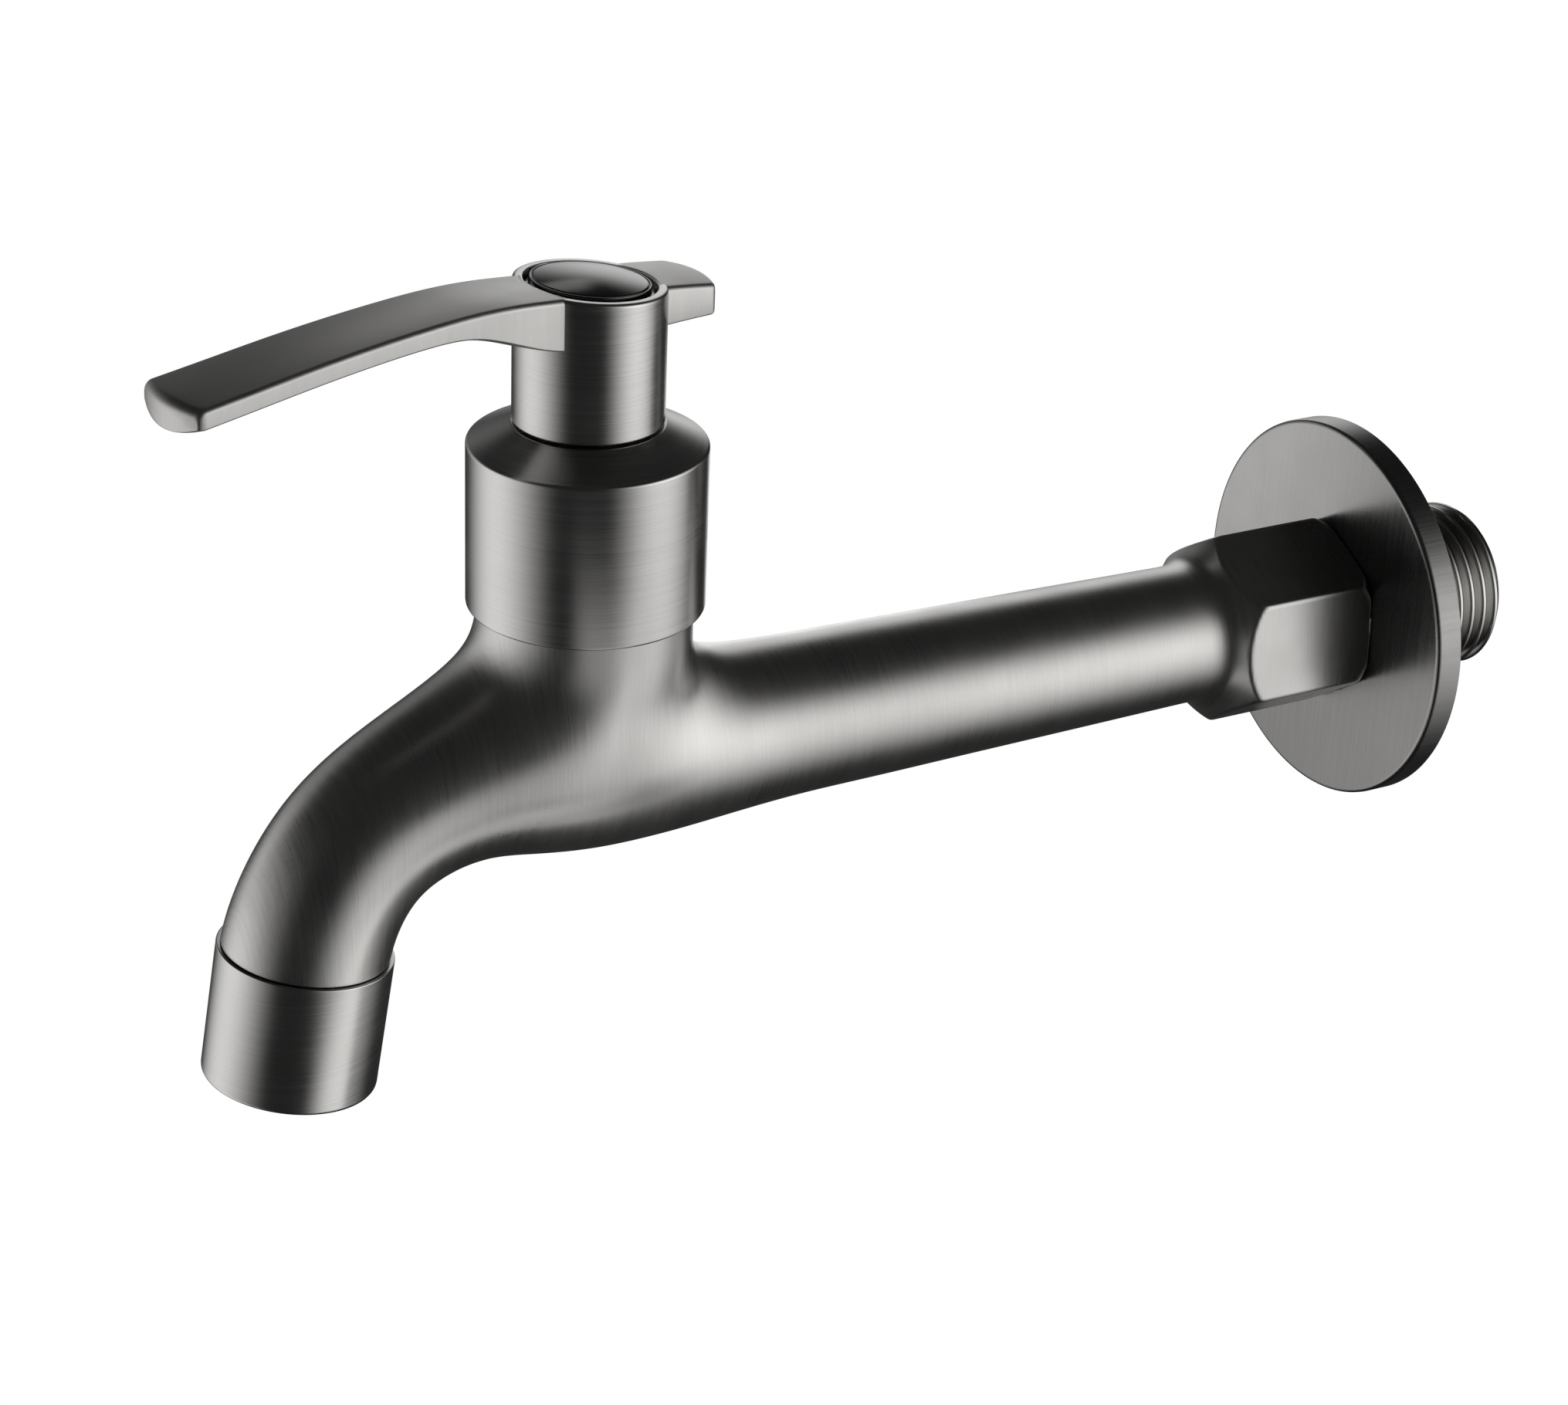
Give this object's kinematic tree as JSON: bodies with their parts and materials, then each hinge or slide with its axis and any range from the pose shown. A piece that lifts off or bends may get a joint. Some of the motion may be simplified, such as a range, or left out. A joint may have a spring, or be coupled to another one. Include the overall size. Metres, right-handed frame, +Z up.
{
  "type": "wall-mounted tap",
  "caption": "Cold-water wall tap with a long round arm, lever-handled quarter-turn valve, down-turned spout, aerator and wall flange, in brushed gun-metal grey.",
  "frame": {"origin": "on the wall thread's axis, at the flange's back face, which is the face of the wall", "axes": "+Y runs into the wall along the thread, the tap reaches out from the wall along -Y, and +Z is up"},
  "size_m": [0.048, 0.1762, 0.0931],
  "materials": {
    "gunmetal": "brushed gun-metal grey",
    "brass": "machined, bare",
    "ceramic": "lapped alumina",
    "rubber": "moulded nitrile, dull",
    "spring_steel": "stainless, as rolled",
    "screw_steel": "stainless, satin",
    "washer_plastic": "white low-friction plastic",
    "aerator_plastic": "light grey moulded plastic"
  },
  "bodies": {
    "tap": {"body": "gunmetal", "wall_flange": "gunmetal", "bonnet_sleeve": "gunmetal", "aerator_housing": "gunmetal", "cartridge_housing": "brass", "housing_o_ring": "rubber", "fixed_disc": "ceramic", "seat_seal": "rubber", "aerator_washer": "rubber", "aerator_screen": "spring_steel", "aerator_jet_plate": "aerator_plastic", "aerator_insert": "aerator_plastic", "aerator_grid": "aerator_plastic"},
    "handle": {"handle": "gunmetal", "handle_cap": "gunmetal", "cap_o_ring": "rubber", "handle_screw": "screw_steel", "screw_washer": "screw_steel", "spindle": "brass", "spindle_o_rings": "rubber", "spindle_clip": "spring_steel", "friction_washer": "washer_plastic", "moving_disc": "ceramic"}
  },
  "joints": [
    {"name": "handle_turn", "type": "hinge", "parent": "tap", "child": "handle", "pos_m": [0, -0.1067, 0.05], "axis": [0, 0, 1], "range_deg": [-11, 79]}
  ]
}
